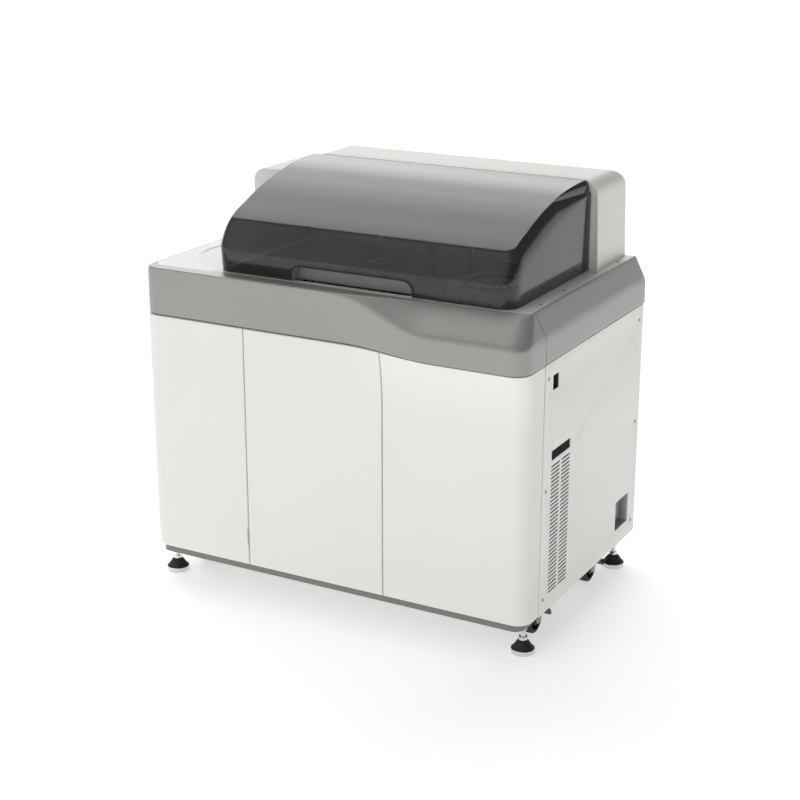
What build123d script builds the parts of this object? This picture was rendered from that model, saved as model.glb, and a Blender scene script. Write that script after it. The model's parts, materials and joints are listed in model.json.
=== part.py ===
from build123d import *
import os
from math import cos, radians, sin

os.makedirs("parts", exist_ok=True)

# Cabinet outline
HALF = 550
SHEET = 2
SKIN = 3
WALL_X = HALF - SHEET
Y_DOOR = -331
Y_BACK = 379
Y_RETURN = Y_DOOR + 74
Y_SIDE = Y_RETURN + 3
Z_RAIL = 75
RAIL_HEIGHT = 17
Z_FLOOR = Z_RAIL + RAIL_HEIGHT
Z_DOOR = Z_FLOOR + 1
DOOR_HEIGHT = 643
FLARE_HEIGHT = 146
Z_DOOR_TOP = Z_DOOR + DOOR_HEIGHT
Z_FLARE = Z_DOOR_TOP - FLARE_HEIGHT
BAND_HEIGHT = 122
Z_BAND = Z_DOOR_TOP + 3
Z_DECK = Z_BAND + BAND_HEIGHT
CORNER = 40

# Front band and the bulge it shares with the doors
BAND_HALF = HALF + 2
BULGE = 48
BULGE_START = 45
BULGE_END = 320
Y_BAND_LEFT = Y_DOOR + 3
Y_BAND_RIGHT = Y_DOOR - BULGE
SLOPE_HEIGHT = 60
Z_KNEE_LEFT = Z_DECK - 3
Z_KNEE_RIGHT = Z_DECK - SLOPE_HEIGHT
Y_LEDGE_LEFT = Y_DOOR + 6
Y_LEDGE_RIGHT = Y_DOOR + 45
RIGHT_TOP_X = BAND_HALF - 30.3
LEFT_TOP_X = BAND_HALF - 7
BAND_CORNER = 45

# Doors
SEAM_LEFT = -242.7
SEAM_RIGHT = 156.1
SEAM = 3
FLANGE_Y = Y_DOOR + 26
PIVOT_X = HALF - 45
PIVOT_Y = Y_DOOR + 30
MID_PIVOT_X = SEAM_LEFT + 41.5
MID_PIVOT_Y = Y_DOOR + 12
PIN_R = 4
RUN = 0.05

# Deck and the tub under the hood
DECK_LEFT = -LEFT_TOP_X + 4
DECK_RIGHT = RIGHT_TOP_X - 4.5
DECK_FRONT = Y_DOOR + 48
DECK_STEP_X = -350
DECK_STEP_Y = DECK_FRONT - 13
DECK_DISH = (-375, -84, 130)
TUB = (-335, 455, -262, 172)
TUB_FLOOR = Z_BAND + 39

# Disks: centre x, centre y, radius
SAMPLE = (-205, -40, 118)
REACTION = (60, -60, 112)
REAGENT = (310, -30, 125)
SPINDLE_R = 10
BOSS_TOP = TUB_FLOOR + 12
DISK_LOW = BOSS_TOP + 0.3

# Lifting posts: x, y
SAMPLE_POST = (-72, 75)
REAGENT_POST = (178, 110)
MIXER_POST = (60, 115)
WASH_POST = (60, -190)
SAMPLE_REACH = 102
REAGENT_REACH = 140
MIXER_REACH = 75
POST_R = 8
ARM_LOW = Z_DECK + 69
ARM_HIGH = ARM_LOW + 18

# Hood and covers
HOOD_LEFT = -355
HOOD_RIGHT = 472
HOOD_FRONT = Y_DOOR + 45
HOOD_LOW = Z_DECK + 0.3
HOOD_TOP = Z_DECK + 229
HOOD_CORNER = 45
NOTCH_LEFT = -128
NOTCH_RIGHT = 212
NOTCH_TOP = Z_DECK + 42
NOTCH_R = 27
REAR_COVER_X = (-345, 494)
SIDE_COVER_X = (-496, -357)
COVER_BACK = Y_BACK - 7
COVER_FRONT = COVER_BACK - 188
COVER_TOP = HOOD_TOP
COVER_LEAN = 7
SIDE_COVER_FRONT = 121
SIDE_COVER_TOP = COVER_TOP - 43
BULKHEAD = COVER_FRONT + 4
HOOD_BACK = COVER_FRONT - 6
HINGE_Y = COVER_FRONT - 16
HINGE_Z = HOOD_TOP - 13
HINGE_X = (-286, 404)

# Feet and casters
FOOT_X = HALF - 32
FOOT_Y = (Y_SIDE - 18, Y_BACK - 59)
FOOT_R = 30
STEM_R = 6
CASTER_X = HALF - 58
CASTER_Y = (-138, 216)
TRAIL = 28
WHEEL_R = 37.5
WHEEL_Z = WHEEL_R + 4
BAY_X = HALF - 127
BAY_Y = (Y_SIDE + 42, Y_BACK - 89)
HOUSING_Y = (Y_SIDE + 18, Y_BACK - 7)
HOUSING_LOW = Z_FLOOR + 15
HOUSING_TOP = HOUSING_LOW + 3
CROWN_TOP = HOUSING_LOW - 5
CROWN_LOW = CROWN_TOP - 18

# Right side panel features: y from, y to, z from, z to
VENT = (-203, -90, Z_DOOR + 43, Z_DOOR + 416)
SWITCH = (-207, -173, Z_DOOR_TOP - 73, Z_DOOR_TOP - 36)
INLET = (238, 328, Z_DOOR + 45, Z_DOOR + 127)
SLOT_PITCH = 10
SLOT_ROWS = 34
SCREW_Y = (Y_SIDE + 20.7, Y_BACK - 25.5)
SCREW_Z = (Z_DOOR + 37.8, (Z_DOOR + Z_DOOR_TOP) / 2 + 0.3, Z_DOOR_TOP - 38.5)
SHELF_Z = Z_DOOR + DOOR_HEIGHT / 2 + 5.5


def block(x0, x1, y0, y1, z0, z1):
    box = Box(x1 - x0, y1 - y0, z1 - z0)
    return Pos((x0 + x1) / 2, (y0 + y1) / 2, (z0 + z1) / 2) * box


def rod(x, y, z0, z1, r):
    return Pos(x, y, (z0 + z1) / 2) * Cylinder(r, z1 - z0)


def rod_x(x0, x1, y, z, r):
    return Pos((x0 + x1) / 2, y, z) * Rot(0, 90, 0) * Cylinder(r, x1 - x0)


def prism_x(points, x0, x1):
    face = Plane.YZ.offset(x0) * make_face(Polyline(*points, close=True))
    return extrude(face, x1 - x0)


def prism_y(points, y0, y1):
    face = Plane.XZ.offset(-y0) * make_face(Polyline(*points, close=True))
    return extrude(face, -(y1 - y0))


def prism_z(points, z0, z1):
    face = Plane.XY.offset(z0) * make_face(Polyline(*points, close=True))
    return extrude(face, z1 - z0)


def group(shapes):
    return Compound(children=[s for shape in shapes for s in shape.solids()])


def ring(center, radius, count, start=0.0):
    spots = []
    for k in range(count):
        angle = radians(start + 360 * k / count)
        spots.append((center[0] + radius * cos(angle), center[1] + radius * sin(angle)))
    return spots


def smooth(value, start, end):
    u = min(max((value - start) / (end - start), 0), 1)
    return u * u * (3 - 2 * u)


# Front skins: horizontal outlines, one above the other


def outline(z, xs, ys, half_left, half_right, corner_left, corner_right, y_rear):
    left = Line((-half_left, y_rear), (-half_left, ys[0] + corner_left))
    turn_left = TangentArc(left @ 1, (-half_left + corner_left, ys[0]), tangent=(0, -1))
    front_left = Line(turn_left @ 1, (xs[0], ys[0]))
    bulge = Spline(*zip(xs, ys), tangents=((1, 0), (1, 0)))
    front_right = Line((xs[-1], ys[-1]), (half_right - corner_right, ys[-1]))
    turn_right = TangentArc(front_right @ 1, (half_right, ys[-1] + corner_right), tangent=(1, 0))
    right = Line(turn_right @ 1, (half_right, y_rear))
    rear = Line(right @ 1, left @ 0)
    edges = left + turn_left + front_left + bulge + front_right + turn_right + right + rear
    return Plane.XY.offset(z) * make_face(edges)


def door_section(z, inset):
    xs = [BULGE_START + (BULGE_END - BULGE_START) * k / 4 for k in range(5)]
    rise = max(z - Z_FLARE, 0) / (Z_BAND - Z_FLARE)
    depth = (Y_BAND_RIGHT + SHEET - Y_DOOR) * rise * rise
    ys = [Y_DOOR + inset + depth * smooth(x, BULGE_START, BULGE_END) for x in xs]
    half = HALF - inset
    corner = CORNER - inset
    return outline(z, xs, ys, half, half, corner, corner, Y_RETURN + inset)


def door_block(inset):
    low = extrude(door_section(Z_DOOR + inset, inset), Z_FLARE - Z_DOOR - inset)
    top = Z_DOOR_TOP - inset
    heights = [Z_FLARE + (top - Z_FLARE) * k / 4 for k in range(5)]
    high = loft([door_section(z, inset) for z in heights])
    return low + high


DOOR_BLOCK = door_block(0)


def door_shell():
    shell = DOOR_BLOCK - door_block(SHEET)
    shell -= block(-HALF + 65, HALF - 65, FLANGE_Y, Y_RETURN + 1, Z_DOOR - 1, Z_DOOR_TOP + 1)
    shell -= block(-WALL_X, WALL_X, Y_RETURN - 12, Y_RETURN + 1, Z_DOOR + 3, Z_DOOR_TOP - 3)
    shell -= block(-HALF - 1, HALF + 1, Y_RETURN - SHEET, Y_RETURN + 1, Z_DOOR - 9, Z_DOOR_TOP + 9)
    return shell


DOOR_SHELL = door_shell()


def door_slice(x0, x1):
    return DOOR_SHELL & block(x0, x1, Y_BAND_RIGHT - 9, Y_RETURN + 9, Z_DOOR - 9, Z_DOOR_TOP + 9)


def door_flange(x0, x1):
    return DOOR_BLOCK & block(x0, x1, Y_BAND_RIGHT - 9, FLANGE_Y, Z_DOOR, Z_DOOR_TOP)


def pivot_boss(x, y, r):
    low = rod(x, y, Z_DOOR + 1, Z_DOOR + 7, r)
    high = rod(x, y, Z_DOOR_TOP - 7, Z_DOOR_TOP - 1, r)
    return low + high


def pivot_hole(x, y, r):
    low = rod(x, y, Z_DOOR - 5, Z_DOOR + 20, r + RUN)
    return low + rod(x, y, Z_DOOR_TOP - 20, Z_DOOR_TOP + 5, r + RUN)


def door_left():
    edge = SEAM_LEFT - SEAM / 2
    door = door_slice(-HALF - 9, edge)
    door += door_flange(edge - SHEET, edge)
    door += pivot_boss(-PIVOT_X, PIVOT_Y, 9)
    door -= block(edge - 4, edge + 1, Y_DOOR - 9, Y_DOOR + 19, Z_DOOR + 60, Z_DOOR + 104)
    return door - pivot_hole(-PIVOT_X, PIVOT_Y, PIN_R)


def door_middle():
    left = SEAM_LEFT + SEAM / 2
    right = SEAM_RIGHT - SEAM / 2
    door = door_slice(left, right)
    door += door_flange(left, left + SHEET)
    door += door_flange(right - SHEET, right)
    door += pivot_boss(MID_PIVOT_X, MID_PIVOT_Y, 8)
    return door - pivot_hole(MID_PIVOT_X, MID_PIVOT_Y, PIN_R - 1)


def door_right():
    edge = SEAM_RIGHT + SEAM / 2
    door = door_slice(edge, HALF + 9)
    door += door_flange(edge, edge + SHEET)
    door += pivot_boss(PIVOT_X, PIVOT_Y, 9)
    return door - pivot_hole(PIVOT_X, PIVOT_Y, PIN_R)


def door_pin(x, y, r):
    low = rod(x, y, Z_FLOOR, Z_DOOR + 6, r) + rod(x, y, Z_FLOOR, Z_DOOR - 0.3, r + 3)
    high = rod(x, y, Z_DOOR_TOP - 6, Z_BAND + 6, r)
    return [low, high]


def door_pins():
    pins = door_pin(-PIVOT_X, PIVOT_Y, PIN_R) + door_pin(PIVOT_X, PIVOT_Y, PIN_R)
    return group(pins + door_pin(MID_PIVOT_X, MID_PIVOT_Y, PIN_R - 1))


def band_front_y(x, z):
    base = Y_BAND_LEFT + (Y_BAND_RIGHT - Y_BAND_LEFT) * smooth(x, BULGE_START, BULGE_END)
    share = smooth(x, 0, 285)
    knee = Z_KNEE_LEFT + (Z_KNEE_RIGHT - Z_KNEE_LEFT) * share
    ledge = Y_LEDGE_LEFT + (Y_LEDGE_RIGHT - Y_LEDGE_LEFT) * share
    return base + (ledge - base) * max(z - knee, 0) / (Z_DECK - knee)


def band_section(z, level, inset, y_rear):
    xs = [BULGE_START - 105, BULGE_START, BULGE_START + 87, BULGE_START + 170, BULGE_END]
    ys = [band_front_y(x, level) + inset for x in xs]
    lean = max(level - Z_KNEE_RIGHT, 0) / (Z_DECK - Z_KNEE_RIGHT)
    cap = max(level - Z_DECK + 15, 0) / 15
    side = BAND_HALF - WALL_X if inset else 0
    half_right = BAND_HALF - side + (RIGHT_TOP_X - BAND_HALF) * lean
    half_left = BAND_HALF - side + (LEFT_TOP_X - BAND_HALF) * cap
    corner_right = BAND_CORNER - inset - 18 * lean
    return outline(z, xs, ys, half_left, half_right, BAND_CORNER - inset, corner_right, y_rear)


def front_band():
    rise = SLOPE_HEIGHT / 4
    levels = [Z_BAND] + [Z_KNEE_RIGHT + rise * k for k in range(4)]
    outer = loft([band_section(z, z, 0, Y_RETURN) for z in levels + [Z_DECK]], ruled=True)
    levels.append(Z_DECK - SKIN)
    inner = loft([band_section(z, z, SKIN, Y_RETURN + 9) for z in levels], ruled=True)
    inner += extrude(band_section(Z_BAND - 2, Z_BAND, SKIN, Y_RETURN + 9), 4)
    return outer - inner - extrude(deck_outline(0.3), SKIN + 9, dir=(0, 0, 1))


def side_band_right():
    points = [(WALL_X, Z_BAND), (HALF, Z_BAND), (BAND_HALF, Z_BAND + 3)]
    points += [(BAND_HALF, Z_KNEE_RIGHT), (RIGHT_TOP_X, Z_DECK), (DECK_RIGHT, Z_DECK)]
    points += [(WALL_X, Z_KNEE_RIGHT - 1)]
    return prism_y(points, Y_RETURN + 1.5, Y_BACK)


def side_band_left():
    points = [(-WALL_X, Z_BAND), (-HALF, Z_BAND), (-BAND_HALF, Z_BAND + 3)]
    points += [(-BAND_HALF, Z_DECK - 9), (-HALF, Z_DECK - 2.5), (-LEFT_TOP_X, Z_DECK)]
    points += [(DECK_LEFT, Z_DECK), (DECK_LEFT, Z_DECK - 3.5), (-WALL_X, Z_DECK - 11)]
    return prism_y(points, Y_RETURN + 1.5, Y_BACK)


# Base, frame and panels


def base_frame():
    ends = fillet(Rectangle(2 * HALF - 30, Y_BACK - Y_DOOR - 10).vertices(), 30)
    base = extrude(Pos(0, (Y_BACK + Y_DOOR + 6) / 2, Z_RAIL) * ends, RAIL_HEIGHT)
    base -= block(-HALF, HALF, BAY_Y[0], BAY_Y[1], Z_RAIL - 9, Z_FLOOR + 9)
    for side in (-1, 1):
        inner = sorted((side * (BAY_X - 40), side * BAY_X))
        base += block(*inner, *BAY_Y, Z_RAIL, Z_FLOOR)
        shelf = sorted((side * (BAY_X - 3), side * WALL_X))
        base += block(*shelf, *HOUSING_Y, HOUSING_LOW, HOUSING_TOP)
        base += block(*shelf, HOUSING_Y[0], HOUSING_Y[0] + 3, Z_FLOOR, HOUSING_LOW)
        base += block(*shelf, HOUSING_Y[1] - 3, HOUSING_Y[1], Z_FLOOR, HOUSING_LOW)
        web = sorted((side * (BAY_X - 3), side * BAY_X))
        base += block(*web, *HOUSING_Y, Z_FLOOR, HOUSING_LOW)
        for y in CASTER_Y:
            base += rod(side * CASTER_X, y, CROWN_LOW + 2, HOUSING_LOW, 6)
            base += rod(side * CASTER_X, y, CROWN_TOP + 0.3, HOUSING_LOW, 15)
        for y in FOOT_Y:
            base -= rod(side * FOOT_X, y, Z_RAIL - 9, Z_FLOOR + 1, STEM_R + RUN)
    return base + block(-BAY_X, BAY_X, *HOUSING_Y, Z_FLOOR, Z_FLOOR + SHEET)


def frame_posts():
    low = Z_BAND + 6
    high = Z_BAND + 36
    wide = HALF - 20
    nose = HALF - 50
    rim = [(-wide, Y_RETURN - 13), (-wide, Y_DOOR + 31), (-nose, Y_DOOR + 9)]
    rim += [(nose, Y_DOOR + 9), (wide, Y_DOOR + 31), (wide, Y_RETURN - 13)]
    frame = prism_z(rim, low, high)
    for y in (Y_BACK - 42, Y_SIDE + 4, 150):
        depth = 40 if y == Y_BACK - 42 else 30
        frame += block(-HALF + 42, HALF - 42, y, y + depth, low, high)
    for side in (-1, 1):
        x = sorted((side * (HALF - 42), side * WALL_X))
        frame += block(*x, DECK_FRONT, Y_BACK - SHEET, low, high)
        frame += block(*x, Y_SIDE + 18, Y_SIDE + 43, HOUSING_TOP, low)
        frame += block(*x, Y_BACK - 42, Y_BACK - SHEET, HOUSING_TOP, low)
    return frame


def cabinet_walls():
    left = -243
    right = 156
    y = (Y_SIDE + 24, Y_BACK - SHEET)
    walls = block(left - 1, left + 1, *y, Z_FLOOR + SHEET, Z_BAND + 6)
    walls += block(right - 1, right + 1, *y, Z_FLOOR + SHEET, Z_BAND + 6)
    return walls + block(left + 1, right - 1, *y, SHELF_Z, SHELF_Z + SHEET)


def screw_holes(x):
    holes = []
    for y in SCREW_Y:
        for z in SCREW_Z:
            holes.append(rod_x(x - 5, x + 5, y, z, 2.8))
    return holes


def side_panel_left():
    panel = block(-HALF, -WALL_X, Y_SIDE, Y_BACK, Z_DOOR, Z_DOOR_TOP)
    return panel - screw_holes(-HALF)


def side_cut(y0, y1, z0, z1):
    return block(HALF - 10, HALF + 10, y0, y1, z0, z1)


def vent_slots():
    y0, y1, z0, z1 = VENT
    slots = [side_cut(y0, y1, z1 - 25, z1)]
    width = (y1 - y0 - 10) / 2
    for row in range(SLOT_ROWS):
        z = z0 + SLOT_PITCH * row
        slots.append(side_cut(y0, y0 + width, z, z + 4.5))
        slots.append(side_cut(y1 - width, y1, z, z + 4.5))
    return slots


def side_panel_right():
    panel = block(WALL_X, HALF, Y_SIDE, Y_BACK, Z_DOOR, Z_DOOR_TOP)
    panel -= screw_holes(HALF)
    panel -= vent_slots()
    panel -= side_cut(*SWITCH)
    return panel - side_cut(*INLET)


def rear_slots(x0, z0):
    slots = []
    for row in range(12):
        z = z0 + 12 * row
        slots.append(block(x0, x0 + 130, Y_BACK - 10, Y_BACK + 10, z, z + 5))
    return slots


def rear_panel():
    panel = block(-WALL_X + 0.5, WALL_X - 0.5, Y_BACK - SHEET, Y_BACK, Z_DOOR, Z_DECK - 63)
    panel -= rear_slots(220, 150)
    return panel - rear_slots(-100, 540)


def vent_filter():
    y0, y1, z0, z1 = VENT
    return block(WALL_X - 6, WALL_X, y0 - 3, y1 + 3, z0 - 5, z1 + 5)


def panel_screws():
    screws = []
    for side in (-1, 1):
        for y in SCREW_Y:
            for z in SCREW_Z:
                shank = sorted((side * WALL_X, side * HALF))
                head = sorted((side * HALF, side * (HALF + 1.8)))
                socket = sorted((side * (HALF + 1), side * (HALF + 2)))
                screw = rod_x(shank[0], shank[1], y, z, 2.5) + rod_x(head[0], head[1], y, z, 4.5)
                screws.append(screw - rod_x(socket[0], socket[1], y, z, 1.5))
    for inset, y in ((13.2, -188), (17.2, -40), (17.2, 158), (12.2, 294)):
        x = DECK_RIGHT - inset
        screws.append(rod(x, y, Z_DECK, Z_DECK + 1.6, 4) - rod(x, y, Z_DECK + 0.8, Z_DECK + 3, 1.5))
    return group(screws)


# Deck and work area


def deck_outline(clearance):
    c = clearance
    points = [(DECK_LEFT - c, Y_BACK), (DECK_LEFT - c, DECK_STEP_Y - c)]
    points += [(DECK_STEP_X + c, DECK_STEP_Y - c), (DECK_STEP_X + c, DECK_FRONT - c)]
    points += [(DECK_RIGHT + c, DECK_FRONT - c), (DECK_RIGHT + c, Y_BACK)]
    face = make_face(Polyline(*points, close=True))
    left = face.vertices().sort_by_distance((DECK_LEFT, DECK_STEP_Y, 0))[0]
    face = fillet(left, 38)
    right = face.vertices().sort_by_distance((DECK_RIGHT, DECK_FRONT, 0))[0]
    return Plane.XY.offset(Z_DECK - SKIN) * fillet(right, 24)


def deck():
    plate = extrude(deck_outline(0), SKIN, dir=(0, 0, 1))
    x0, x1, y0, y1 = TUB
    hole = fillet(Rectangle(x1 - x0, y1 - y0).vertices(), 10)
    plate -= Pos((x0 + x1) / 2, (y0 + y1) / 2, Z_DECK - 6) * extrude(hole, 9)
    plate -= rod(DECK_DISH[0], DECK_DISH[1], Z_DECK - 1.2, Z_DECK + 1, DECK_DISH[2])
    skirt = [(DECK_LEFT - 3, Z_DECK - 62), (WALL_X - 6, Z_DECK - 62)]
    skirt += [(DECK_RIGHT - 1.2, Z_DECK - 4), (DECK_RIGHT - 1.2, Z_DECK - 2)]
    skirt += [(DECK_LEFT, Z_DECK - 2), (DECK_LEFT, Z_DECK - 6), (DECK_LEFT - 3, Z_DECK - 17)]
    return plate + prism_y(skirt, Y_BACK - SKIN, Y_BACK)


def work_deck():
    x0, x1, y0, y1 = TUB
    tub = block(x0 - 3, x1 + 3, y0 - 3, y1 + 3, TUB_FLOOR - 3, Z_DECK - SKIN)
    tub -= block(x0, x1, y0, y1, TUB_FLOOR, Z_DECK)
    for x, y, r in (SAMPLE, REACTION, REAGENT):
        tub += rod(x, y, TUB_FLOOR - 3, BOSS_TOP, 30)
        tub -= rod(x, y, TUB_FLOOR - 9, BOSS_TOP + 9, SPINDLE_R + RUN)
    for x, y in (SAMPLE_POST, REAGENT_POST, MIXER_POST, WASH_POST):
        tub += rod(x, y, TUB_FLOOR - 16, TUB_FLOOR + 22, 14)
        tub -= rod(x, y, TUB_FLOOR - 20, TUB_FLOOR + 30, POST_R + RUN)
    for spot, reach in ((SAMPLE_POST, SAMPLE_REACH), (REAGENT_POST, REAGENT_REACH)):
        x, y = spot[0], spot[1] - reach
        tub += rod(x, y, TUB_FLOOR - 1, TUB_FLOOR + 52, 6)
        tub -= rod(x, y, TUB_FLOOR + 12, TUB_FLOOR + 60, 4.5)
    x = MIXER_POST[0] - MIXER_REACH
    tub += rod(x, MIXER_POST[1], TUB_FLOOR - 1, TUB_FLOOR + 52, 12)
    return tub - rod(x, MIXER_POST[1], TUB_FLOOR + 12, TUB_FLOOR + 60, 9.5)


def spindle(disk):
    return rod(disk[0], disk[1], TUB_FLOOR - 13, BOSS_TOP + 10, SPINDLE_R)


SAMPLE_SPOTS = ring(SAMPLE, 104, 32) + ring(SAMPLE, 78, 20, 1.07)


def sample_disk():
    x, y, r = SAMPLE
    z = TUB_FLOOR
    disk = spindle(SAMPLE) + rod(x, y, DISK_LOW, z + 72, 26) + rod(x, y, DISK_LOW, z + 16, r)
    disk += rod(x, y, z + 60, z + 64, r)
    disk += Pos(x, y, z + 82) * Box(60, 8, 24)
    holes = [rod(px, py, z + 56, z + 68, 6.8) for px, py in SAMPLE_SPOTS]
    return disk - holes


def sample_tubes():
    z = TUB_FLOOR
    tubes = []
    for x, y in SAMPLE_SPOTS:
        tube = rod(x, y, z + 16, z + 90, 6.5) + rod(x, y, z + 86, z + 90, 7.2)
        tubes.append(tube - rod(x, y, z + 18, z + 99, 5.4))
    return group(tubes)


def reagent_disk():
    x, y, r = REAGENT
    z = TUB_FLOOR
    disk = spindle(REAGENT) + rod(x, y, DISK_LOW, z + 74, 30) + rod(x, y, DISK_LOW, z + 16, r)
    for k in range(20):
        wall = Pos(x, y, z + 33) * Rot(0, 0, 18 * k) * Pos(74, 0, 0) * Box(94, 2, 38)
        disk += wall
    return disk


def reagent_bottles():
    x, y, r = REAGENT
    z = TUB_FLOOR
    bottles = []
    for k in range(20):
        slot = Pos(x, y, 0) * Rot(0, 0, 18 * k + 9)
        body = prism_z([(36, -3.8), (36, 3.8), (118, 16.4), (118, -16.4)], z + 16, z + 72)
        body += rod(71, 0, z + 72, z + 86, 8.5)
        bottles.append(slot * (body - rod(71, 0, z + 40, z + 99, 5.5)))
    return group(bottles)


CUVETTE_SPOTS = 60
CUVETTE_R = 100
CUVETTE_START = 1.9


def reaction_disk():
    x, y, r = REACTION
    z = TUB_FLOOR
    disk = spindle(REACTION) + rod(x, y, DISK_LOW, z + 48, 28)
    disk += rod(x, y, DISK_LOW, z + 17, r)
    collar = rod(x, y, z + 15, z + 44, r) - rod(x, y, z + 12, z + 52, r - 5)
    inner = rod(x, y, z + 15, z + 44, r - 19) - rod(x, y, z + 12, z + 52, r - 24)
    return disk + collar + inner


def cuvettes():
    x, y, r = REACTION
    z = TUB_FLOOR
    cups = []
    for k in range(CUVETTE_SPOTS):
        turn = CUVETTE_START + 360 * k / CUVETTE_SPOTS
        slot = Pos(x, y, 0) * Rot(0, 0, turn) * Pos(CUVETTE_R, 0, 0)
        cup = block(-4, 4, -3.5, 3.5, z + 17, z + 47)
        cup -= block(-3, 3, -2.6, 2.6, z + 19, z + 50)
        cups.append(slot * cup)
    return group(cups)


def post(spot):
    x, y = spot
    low = rod(x, y, TUB_FLOOR - 88, ARM_LOW - 6, POST_R)
    return low + rod(x, y, ARM_LOW - 8, ARM_LOW + 12, 5)


def arm(spot, length, turn, tip_r, tip):
    body = block(0, length, -9, 9, ARM_LOW - 5, ARM_HIGH)
    body += rod(0, 0, ARM_LOW - 5, ARM_HIGH, 15) + rod(length, 0, ARM_LOW - 5, ARM_HIGH, 9)
    body += rod(length, 0, ARM_LOW - tip, ARM_LOW, tip_r) + rod(length, 0, ARM_LOW - 18, ARM_LOW, 4)
    body -= rod(0, 0, ARM_LOW - 20, ARM_LOW + 13, 5 + RUN)
    return Pos(spot[0], spot[1], 0) * Rot(0, 0, turn) * body


def mixer_arm():
    body = arm(MIXER_POST, MIXER_REACH, 180, 2, 32)
    paddle = Pos(MIXER_POST[0] - MIXER_REACH, MIXER_POST[1], ARM_LOW - 27) * Box(6, 1.5, 12)
    return body + paddle


def wash_head():
    x, y = WASH_POST
    z = ARM_LOW - 25
    head = rod(x, y, TUB_FLOOR - 88, z, POST_R)
    head += block(x - 11, x + 11, y - 11, y + 45, z, z + 12)
    reach = REACTION[1] - CUVETTE_R
    head += block(x - 26, x + 26, reach - 7, reach + 9, z - 12, z)
    for k in range(-2, 3):
        angle = radians(270 + CUVETTE_START + 360 * k / CUVETTE_SPOTS)
        px = REACTION[0] + CUVETTE_R * cos(angle)
        py = REACTION[1] + CUVETTE_R * sin(angle)
        head += rod(px, py, z - 60, z - 11.5, 1.2)
    return head


# Hood and covers


def hood_profile(inset):
    low = HOOD_LOW - (30 if inset else 0)
    back = HOOD_BACK + (30 if inset else 0)
    face = HOOD_FRONT + inset
    z = Z_DECK - inset
    front = Polyline(
        (back, z + 227), (back, low), (face + 10, low), (face, Z_DECK + 66), (face + 20, z + 127)
    )
    reach = HOOD_BACK - HOOD_FRONT
    rises = ((0.364, 177), (0.552, 198), (0.819, 221))
    middle = [(HOOD_FRONT + reach * share, z + rise) for share, rise in rises]
    top = Spline(front @ 1, *middle, front @ 0)
    return Plane.YZ.offset(HOOD_LEFT) * make_face(front + top)


def hood_block(inset):
    width = HOOD_RIGHT - HOOD_LEFT
    side = extrude(hood_profile(inset), width)
    plan = Rectangle(width - 2 * inset, 600)
    plan = fillet(plan.vertices().group_by(Axis.Y)[0], HOOD_CORNER - inset)
    middle = (HOOD_LEFT + HOOD_RIGHT) / 2
    side &= Pos(middle, HOOD_FRONT - 4 + inset + 300, Z_DECK - 100) * extrude(plan, 500)
    cross = Rectangle(width - 2 * inset, 600)
    cross = fillet(cross.vertices().group_by(Axis.Y)[-1], 44 - inset)
    cross = Plane.XZ * Pos(middle, HOOD_TOP - inset - 300) * cross
    return side & extrude(cross, 400, both=True)


def notch(grow, y0, y1):
    width = NOTCH_RIGHT - NOTCH_LEFT + 2 * grow
    face = Rectangle(width, 200)
    face = fillet(face.vertices().group_by(Axis.Y)[-1], NOTCH_R + grow)
    face = Plane.XZ.offset(-y0) * Pos((NOTCH_LEFT + NOTCH_RIGHT) / 2, NOTCH_TOP + grow - 100) * face
    return extrude(face, -(y1 - y0))


HOOD_OUTER = hood_block(0)


def hood():
    shell = HOOD_OUTER - hood_block(SKIN)
    return shell - notch(0, HOOD_FRONT - 14, HOOD_FRONT + 24)


def hood_fittings():
    pocket = notch(-0.3, HOOD_FRONT - 14, HOOD_FRONT + 40) & HOOD_OUTER
    pocket -= notch(-2.8, HOOD_FRONT - 24, HOOD_FRONT + 37.5)
    parts = [pocket]
    lining = hood_block(SKIN + 0.3)
    for x in HINGE_X:
        leaf = block(x - 12, x + 12, HINGE_Y - 114, HINGE_Y - 2, HINGE_Z - 11, HINGE_Z + 23)
        leaf &= lining
        leaf += rod_x(x - 15, x + 15, HINGE_Y, HINGE_Z, 7)
        parts.append(leaf - rod_x(x - 20, x + 20, HINGE_Y, HINGE_Z, PIN_R + RUN))
    return group(parts)


def hinge_brackets():
    brackets = []
    y = HINGE_Y
    z = HINGE_Z
    ear = [(y - 7, z), (y + 7, z), (y + 7, z - 15), (BULKHEAD, z - 17), (BULKHEAD, z - 37), (y - 7, z - 25)]
    for x in HINGE_X:
        bracket = rod_x(x - 22, x + 22, y, z, PIN_R)
        for x0 in (x - 22, x + 16):
            bracket += prism_x(ear, x0, x0 + 6) + rod_x(x0, x0 + 6, y, z, 7)
        foot = block(x - 22, x + 22, BULKHEAD - 4, BULKHEAD, z - 37, z - 17)
        brackets.append(bracket + foot)
    return group(brackets)


def cover_block(x0, x1, lean, y0, y1, top, radius, i):
    low = Z_DECK - (10 if i else 0)
    points = [(x0 + i, low), (x0 + i, top - i), (x1 - lean - i, top - i), (x1 - i, low)]
    front = make_face(Polyline(*points, close=True))
    front = fillet(front.vertices().group_by(Axis.Y)[-1], radius - i)
    body = extrude(Plane.XZ.offset(-y0 - i) * front, -(y1 - y0 - 2 * i))
    side = Plane.YZ * Pos((y0 + y1 - 100) / 2 - i, top - i - 300) * Rectangle(y1 - y0 + 100, 600)
    rim = side.vertices().sort_by_distance((0, y1 - i, top - i))[0]
    return body & extrude(fillet(rim, radius - i), 700, both=True)


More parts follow.
